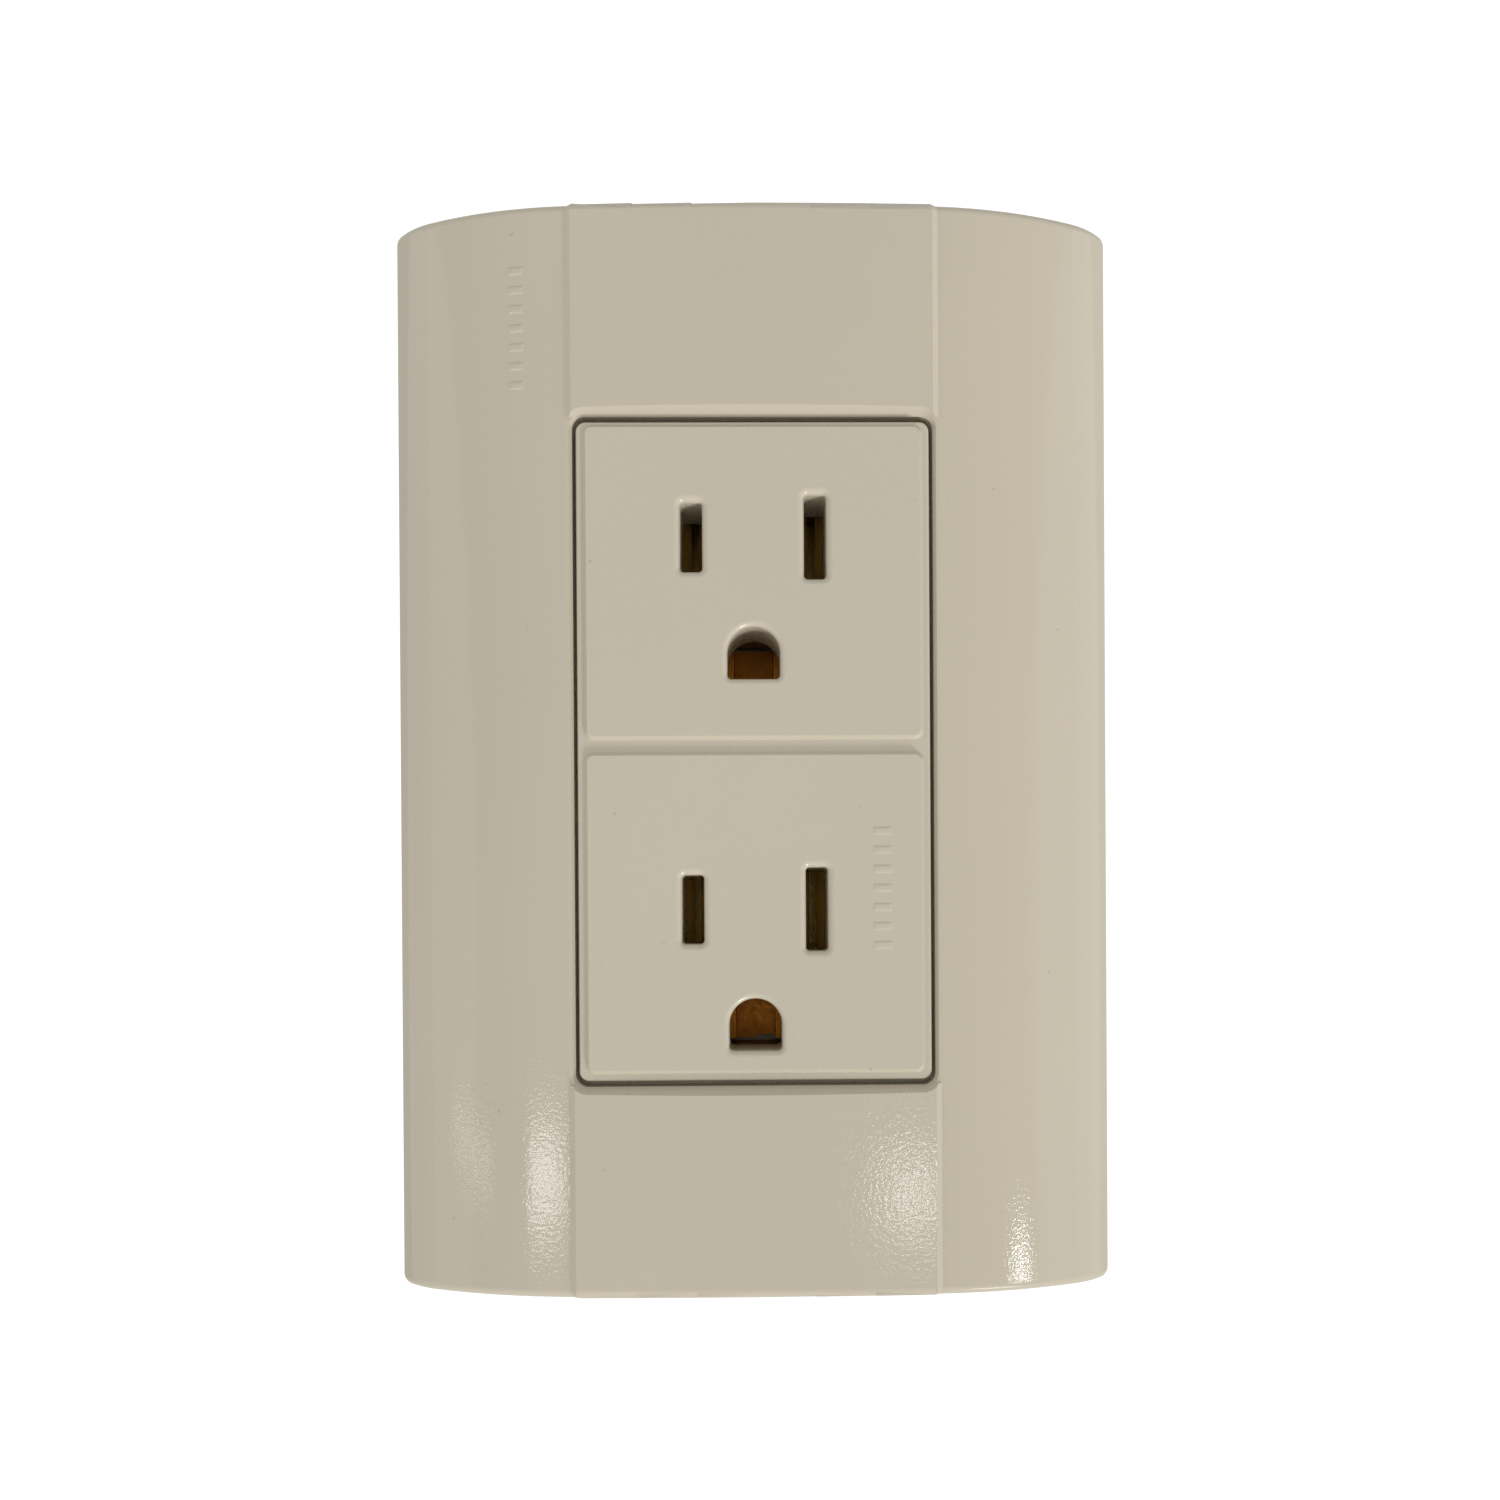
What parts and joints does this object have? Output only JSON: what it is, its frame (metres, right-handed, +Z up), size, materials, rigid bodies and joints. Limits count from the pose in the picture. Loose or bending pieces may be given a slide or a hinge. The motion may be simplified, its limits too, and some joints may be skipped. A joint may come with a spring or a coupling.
{
  "type": "duplex wall outlet",
  "caption": "Flush wall outlet with curved clip-on faceplate, raised central strip and a framed insert carrying two grounded three-pin sockets.",
  "frame": {"origin": "midway between the two box screws, on the wall plane", "axes": "+Z up, +X to the right seen from the room, +Y into the wall; the outlet faces -Y"},
  "size_m": [0.0758, 0.027, 0.112],
  "materials": {
    "faceplate": "glossy moulded, faint orange peel",
    "receptacle_cover": "satin gloss moulded",
    "receptacle_base": "fine matt texture",
    "support_frame": "fine matt texture",
    "brass": "rolled strip",
    "brass_screw": "plated",
    "steel": "zinc plated",
    "ground_screw": "green lacquer"
  },
  "bodies": {
    "device": {"support_frame": "support_frame", "receptacle_cover": "receptacle_cover", "receptacle_base": "receptacle_base", "line_bus": "brass", "neutral_bus": "brass", "ground_strap": "brass", "housing_screws": "steel"},
    "faceplate": {"faceplate": "faceplate"},
    "line_clamp_upper": {"line_clamp_upper": "steel"},
    "line_screw_upper": {"line_screw_upper": "brass_screw"},
    "line_clamp_lower": {"line_clamp_lower": "steel"},
    "line_screw_lower": {"line_screw_lower": "brass_screw"},
    "neutral_clamp_upper": {"neutral_clamp_upper": "steel"},
    "neutral_screw_upper": {"neutral_screw_upper": "steel"},
    "neutral_clamp_lower": {"neutral_clamp_lower": "steel"},
    "neutral_screw_lower": {"neutral_screw_lower": "steel"},
    "ground_clamp": {"ground_clamp": "steel"},
    "ground_screw": {"ground_screw": "ground_screw"},
    "box_washer_upper": {"box_washer_upper": "steel"},
    "box_screw_upper": {"box_screw_upper": "steel"},
    "box_washer_lower": {"box_washer_lower": "steel"},
    "box_screw_lower": {"box_screw_lower": "steel"}
  },
  "joints": [
    {"name": "faceplate_pull", "type": "slide", "parent": "device", "child": "faceplate", "axis": [0, -1, 0], "range_m": [0, 0.03]},
    {"name": "line_clamp_upper_slide", "type": "slide", "parent": "device", "child": "line_clamp_upper", "axis": [1, 0, 0], "range_m": [0, 0.0021]},
    {"name": "line_screw_upper_turn", "type": "hinge", "parent": "line_clamp_upper", "child": "line_screw_upper", "pos_m": [-0.0152, 0.005, 0.0095], "axis": [1, 0, 0], "range_deg": [0, 950]},
    {"name": "line_clamp_lower_slide", "type": "slide", "parent": "device", "child": "line_clamp_lower", "axis": [1, 0, 0], "range_m": [0, 0.0021]},
    {"name": "line_screw_lower_turn", "type": "hinge", "parent": "line_clamp_lower", "child": "line_screw_lower", "pos_m": [-0.0152, 0.005, -0.0035], "axis": [1, 0, 0], "range_deg": [0, 950]},
    {"name": "neutral_clamp_upper_slide", "type": "slide", "parent": "device", "child": "neutral_clamp_upper", "axis": [-1, 0, 0], "range_m": [0, 0.0021]},
    {"name": "neutral_screw_upper_turn", "type": "hinge", "parent": "neutral_clamp_upper", "child": "neutral_screw_upper", "pos_m": [0.0152, 0.005, 0.0095], "axis": [-1, 0, 0], "range_deg": [0, 950]},
    {"name": "neutral_clamp_lower_slide", "type": "slide", "parent": "device", "child": "neutral_clamp_lower", "axis": [-1, 0, 0], "range_m": [0, 0.0021]},
    {"name": "neutral_screw_lower_turn", "type": "hinge", "parent": "neutral_clamp_lower", "child": "neutral_screw_lower", "pos_m": [0.0152, 0.005, -0.0035], "axis": [-1, 0, 0], "range_deg": [0, 950]},
    {"name": "ground_clamp_slide", "type": "slide", "parent": "device", "child": "ground_clamp", "axis": [1, 0, 0], "range_m": [0, 0.0021]},
    {"name": "ground_screw_turn", "type": "hinge", "parent": "ground_clamp", "child": "ground_screw", "pos_m": [-0.0152, 0.005, -0.0265], "axis": [1, 0, 0], "range_deg": [0, 950]},
    {"name": "box_washer_upper_slide", "type": "slide", "parent": "device", "child": "box_washer_upper", "axis": [0, 1, 0], "range_m": [-0.0016, 0]},
    {"name": "box_screw_upper_turn", "type": "hinge", "parent": "box_washer_upper", "child": "box_screw_upper", "pos_m": [0, -0.0025, 0.04165], "axis": [0, 1, 0], "range_deg": [-720, 0]},
    {"name": "box_washer_lower_slide", "type": "slide", "parent": "device", "child": "box_washer_lower", "axis": [0, 1, 0], "range_m": [-0.0016, 0]},
    {"name": "box_screw_lower_turn", "type": "hinge", "parent": "box_washer_lower", "child": "box_screw_lower", "pos_m": [0, -0.0025, -0.04165], "axis": [0, 1, 0], "range_deg": [-720, 0]}
  ],
  "couplings": [
    {"joint": "line_clamp_upper_slide", "follows": "line_screw_upper_turn", "m_per_rad": 0.00012637},
    {"joint": "line_clamp_lower_slide", "follows": "line_screw_lower_turn", "m_per_rad": 0.00012637},
    {"joint": "neutral_clamp_upper_slide", "follows": "neutral_screw_upper_turn", "m_per_rad": 0.00012637},
    {"joint": "neutral_clamp_lower_slide", "follows": "neutral_screw_lower_turn", "m_per_rad": 0.00012637},
    {"joint": "ground_clamp_slide", "follows": "ground_screw_turn", "m_per_rad": 0.00012637},
    {"joint": "box_washer_upper_slide", "follows": "box_screw_upper_turn", "m_per_rad": 0.00012637},
    {"joint": "box_washer_lower_slide", "follows": "box_screw_lower_turn", "m_per_rad": 0.00012637}
  ]
}
